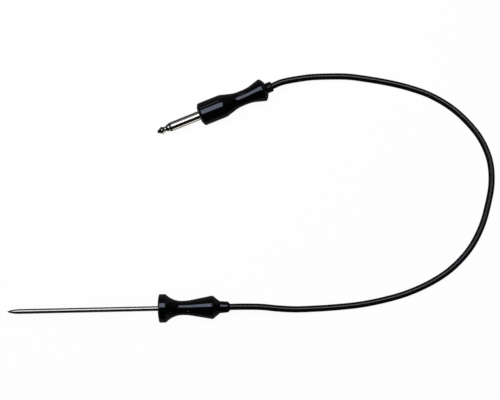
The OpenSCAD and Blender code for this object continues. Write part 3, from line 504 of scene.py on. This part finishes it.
# ---- Inside the handle and the plug ----
# What a cut through the probe shows: the potted thermistor and its leads, the collar and the cord
# anchor, the crimped joints, the stripped ends of the cord and the lugs that they are soldered to.
INNER_FINISHES = {  # two tones, metallic, range of roughness, size of the grain in metres
    "brass": ((0.60, 0.42, 0.16), (0.70, 0.52, 0.24), 1.0, 0.25, 0.42, 0.0011),
    "copper": ((0.62, 0.28, 0.15), (0.75, 0.38, 0.22), 1.0, 0.30, 0.45, 0.0003),
    "tinned_steel": ((0.50, 0.50, 0.49), (0.62, 0.62, 0.60), 1.0, 0.28, 0.45, 0.0009),
    "solder": ((0.42, 0.42, 0.43), (0.60, 0.60, 0.61), 1.0, 0.22, 0.50, 0.0005),
    "white_plastic": ((0.74, 0.72, 0.66), (0.82, 0.80, 0.76), 0.0, 0.40, 0.55, 0.0010),
    "bead_glass": ((0.16, 0.05, 0.02), (0.25, 0.09, 0.04), 0.0, 0.06, 0.15, 0.0004),
    "lead_enamel": ((0.45, 0.10, 0.03), (0.58, 0.16, 0.05), 0.0, 0.20, 0.35, 0.0002),
    "filler": ((0.55, 0.55, 0.53), (0.70, 0.70, 0.68), 0.0, 0.60, 0.85, 0.0003),
    "shrink_red": ((0.42, 0.02, 0.02), (0.52, 0.05, 0.04), 0.0, 0.35, 0.55, 0.0006),
    "washer_brown": ((0.16, 0.07, 0.03), (0.25, 0.12, 0.06), 0.0, 0.45, 0.65, 0.0005),
    "liner_film": ((0.60, 0.52, 0.33), (0.70, 0.62, 0.42), 0.0, 0.25, 0.40, 0.0012),
}
GRAIN_SHALLOWNESS = 60  # how many times wider the grain is than deep
INNER_NODES = {
    "brass": ("needle_collar", "cord_anchor", "core_splice", "screen_splice"),
    "copper": ("handle_cord_screen", "handle_cord_wire", "screen_pigtail", "plug_cord_screen",
               "plug_cord_wire"),
    "tinned_steel": ("sleeve_lug", "tip_lug"),
    "solder": ("solder_joints",),
    "white_plastic": ("lead_sleeving", "handle_cord_core", "plug_cord_core"),
    "bead_glass": ("thermistor_bead",),
    "lead_enamel": ("thermistor_leads",),
    "filler": ("tip_filler",),
    "shrink_red": ("splice_sleeve",),
    "washer_brown": ("lug_washer",),
    "liner_film": ("plug_liner",),
    "cord_black": ("handle_cord_jacket", "plug_cord_jacket"),
    "grommet_black": ("cord_bushing",),
}
inner_finishes = {"cord_black": cord_black, "grommet_black": grommet_black}
for name, (dark, light, metallic, low, high, grain) in INNER_FINISHES.items():
    inner_finishes[name], tree, at = new_finish(name, Metallic=metallic)
    worn = place_effect(tree, mottle, Vector=at, Scale=1 / grain, Low=low, High=high)
    lay_on(tree, Base_Color=blend_colours(tree, worn["Mask"], dark, light),
           Roughness=worn["Value"], Normal=relief(tree, worn["Mask"], grain / GRAIN_SHALLOWNESS))
for name, nodes in INNER_NODES.items():
    for node in nodes:
        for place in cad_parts[node].material_slots:
            place.material = inner_finishes[name]

# ---- Table and lights ----
# A pale table under a softbox that streaks every turned piece, and an even fill. A dark card that
# only reflections see keeps the edges from washing out. A strip and a small card give the plug its
# fine lines and a broad panel gives the cord its sheen: each lights the pieces that it is for.
# Sizes and places of the studio are in metres, apart from the bounce card's place
TABLE_SIZE, TABLE_BRIGHTNESS = 8.0, 0.94  # the camera and reflections see it as bright as this
TABLE_TONE, CARD_TONE, WHITE = (0.92, 0.92, 0.92, 1), (0.125, 0.11, 0.10, 1), (1, 1, 1, 1)
CARD_SIZE, CARD_GAP = 4, 2e-5  # the gap is over the table
MIDDLE = 0.066, 0.075
ROOM_GLOW, ROOM_DARKEST, ROOM_LIGHTEST = (1, 0.99, 0.97, 1), 0.012, 0.06
LAMP_COOL, LAMP_WARM, PANEL_COOL = (0.93, 0.95, 1.0), (1.0, 0.95, 0.90), (0.97, 0.98, 1.0)
BOUNCE_ALONG, BOUNCE_BESIDE, BOUNCE_UNDER = 16.5, 40, 2.2  # mm from the plug's nose
BOUNCE_INWARDS, BOUNCE_UPWARDS = 0.515, 0.857  # the way it faces


def level_sheet(name, size, centre, finish):
    """A level sheet of that size round a centre, in metres."""
    shape = bmesh.new()
    bmesh.ops.create_grid(shape, x_segments=1, y_segments=1, size=0.5)
    bmesh.ops.transform(shape, verts=shape.verts[:], matrix=Matrix.Translation(centre)
                        @ Matrix.Diagonal((size, size, 1, 1)))
    mesh = bpy.data.meshes.new(name)
    shape.to_mesh(mesh)
    shape.free()
    mesh.materials.append(finish)
    sheet = bpy.data.objects.new(name, mesh)
    scene.collection.objects.link(sheet)
    return sheet


def bare_material(name):
    """A material with nothing in it but its output."""
    material = bpy.data.materials.new(name)
    material.use_nodes = True
    material.node_tree.nodes.clear()
    return material, material.node_tree, material.node_tree.nodes.new("ShaderNodeOutputMaterial")


table_white, tree, output = bare_material("table_white")
paper = add(tree, "ShaderNodeBsdfDiffuse", {"Color": TABLE_TONE})
white = add(tree, "ShaderNodeEmission", {"Color": WHITE, "Strength": 1.0})
ray = add(tree, "ShaderNodeLightPath").outputs
seen = add(tree, "ShaderNodeMath", {0: ray["Is Camera Ray"], 1: ray["Is Glossy Ray"]},
           operation="ADD")
seen = add(tree, "ShaderNodeMath", {0: seen.outputs[0], 1: ray["Is Transmission Ray"]},
           operation="ADD", use_clamp=True)
share = add(tree, "ShaderNodeMath", {0: seen.outputs[0], 1: TABLE_BRIGHTNESS},
            operation="MULTIPLY")
mix = add(tree, "ShaderNodeMixShader", {
    0: share.outputs[0], 1: paper.outputs[0], 2: white.outputs[0]})
tree.links.new(mix.outputs[0], output.inputs["Surface"])
table = level_sheet("table", TABLE_SIZE, (0, 0, TABLE_TOP * MM), table_white)

card_paper, tree, output = bare_material("card_paper")
paint = add(tree, "ShaderNodeBsdfDiffuse", {"Color": CARD_TONE})
tree.links.new(paint.outputs[0], output.inputs["Surface"])
card = level_sheet("dark_card", CARD_SIZE, (*MIDDLE, TABLE_TOP * MM + CARD_GAP), card_paper)
card.visible_camera = card.visible_diffuse = card.visible_shadow = card.visible_transmission = False

world = bpy.data.worlds.new("studio")
world.use_nodes = True
scene.world = world
tree = world.node_tree
tree.nodes.clear()
facing = add(tree, "ShaderNodeSeparateXYZ", {
    0: add(tree, "ShaderNodeTexCoord").outputs["Generated"]})
glow = add(tree, "ShaderNodeMapRange", {
    "Value": facing.outputs["Y"], "From Min": 0.0, "From Max": 0.9,
    "To Min": ROOM_DARKEST, "To Max": ROOM_LIGHTEST})
dim = add(tree, "ShaderNodeBackground", {"Color": ROOM_GLOW, "Strength": glow.outputs[0]})
white = add(tree, "ShaderNodeBackground", {"Color": WHITE, "Strength": 1.0})
seen = add(tree, "ShaderNodeLightPath").outputs["Is Camera Ray"]
mix = add(tree, "ShaderNodeMixShader", {0: seen, 1: dim.outputs[0], 2: white.outputs[0]})
tree.links.new(mix.outputs[0], tree.nodes.new("ShaderNodeOutputWorld").inputs["Surface"])


def lamp(name, centre, towards, size, radiance, colour, turn=0.0):
    """A flat lamp of that size, in metres, facing a point, with an even radiance over its face."""
    light = bpy.data.lights.new(name, "AREA")
    light.shape = "RECTANGLE"
    light.size, light.size_y = size
    light.energy = radiance * math.pi * size[0] * size[1]
    light.color = colour
    source = bpy.data.objects.new(name, light)
    source.location = centre
    aim = (Vector(towards) - Vector(centre)).to_track_quat("-Z", "Y")
    source.rotation_euler = (aim.to_matrix() @ Matrix.Rotation(turn, 3, "Z")).to_euler()
    scene.collection.objects.link(source)
    return source


softbox = lamp("softbox", centre=(-0.125, 0.291, 0.48), towards=(-0.125, 0.291, 0),
               size=(0.55, 0.38), radiance=2.45, colour=LAMP_COOL, turn=math.radians(5))
fill = lamp("fill", centre=(*MIDDLE, 2), towards=(*MIDDLE, 0), size=(2, 2), radiance=2.5,
            colour=WHITE[:3])
fill.visible_glossy = False
strip = lamp("strip", centre=(-0.455, 1.427, 0.7), towards=(0.04, 0.138, 0), size=(0.2, 0.12),
             radiance=1.4, colour=LAMP_COOL, turn=PLUG_TURN)
beside = Vector((plug_direction.y, -plug_direction.x, 0))
bounce_at = (plug_nose + BOUNCE_ALONG * plug_direction + BOUNCE_BESIDE * beside
             + Vector((0, 0, -BOUNCE_UNDER))) * MM
bounce = lamp("bounce", centre=bounce_at,
              towards=bounce_at - BOUNCE_INWARDS * beside + Vector((0, 0, BOUNCE_UPWARDS)),
              size=(0.029, 0.0233), radiance=1.8, colour=LAMP_WARM)
cord_light = lamp("cord_light", centre=(0.25, 0.9, 1.5), towards=(0.18, 0.08, 0),
                  size=(2.4, 0.7), radiance=4.8, colour=PANEL_COOL)
for light, lit in ((strip, (housing, plug_sleeve, plug_tip)), (bounce, (plug_sleeve, plug_tip)),
                   (cord_light, (free_cord,))):
    light.visible_camera = light.visible_diffuse = False
    light.light_linking.receiver_collection = bpy.data.collections.new(f"lit_by_{light.name}")
    for piece in lit:
        light.light_linking.receiver_collection.objects.link(piece)
# The softbox passes over the cord, which would turn grey under it
passed_over = bpy.data.collections.new("not_lit_by_softbox")
passed_over.objects.link(free_cord)
passed_over.collection_objects[0].light_linking.link_state = "EXCLUDE"
softbox.light_linking.receiver_collection = passed_over
